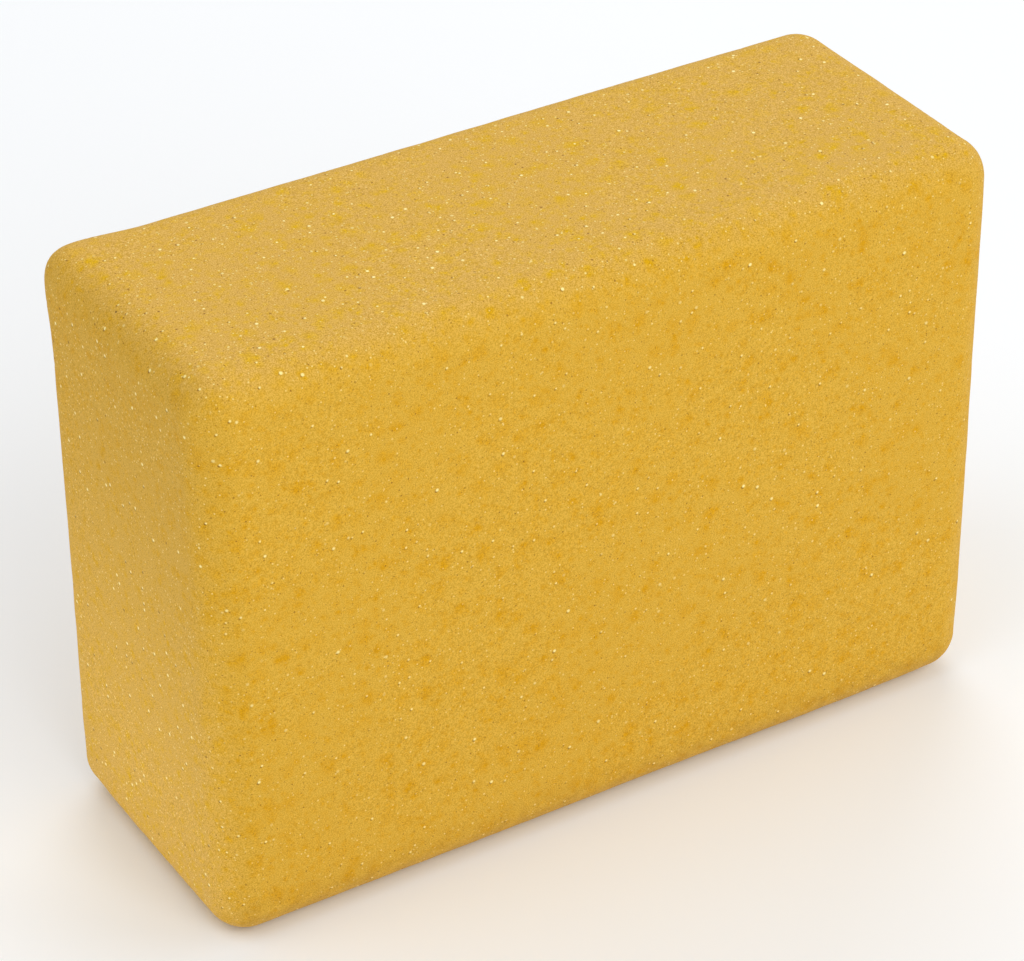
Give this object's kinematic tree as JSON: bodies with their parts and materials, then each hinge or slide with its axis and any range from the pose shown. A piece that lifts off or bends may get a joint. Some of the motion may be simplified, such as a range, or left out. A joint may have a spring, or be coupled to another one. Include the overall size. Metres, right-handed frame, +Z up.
{
  "type": "foam sponge",
  "caption": "Rectangular block of open-cell foam with rounded edges, standing on a long narrow side: a hand sponge for decorating, tiling and cleaning up.",
  "frame": {"origin": "centre of the long narrow side that the sponge stands on", "axes": "+X along the length, +Y through the thickness towards the back broad face, +Z up, square to the side it stands on"},
  "size_m": [0.19, 0.072, 0.135],
  "materials": {
    "foam": "matte"
  },
  "bodies": {
    "root": {"foam_block": "foam"}
  },
  "joints": []
}
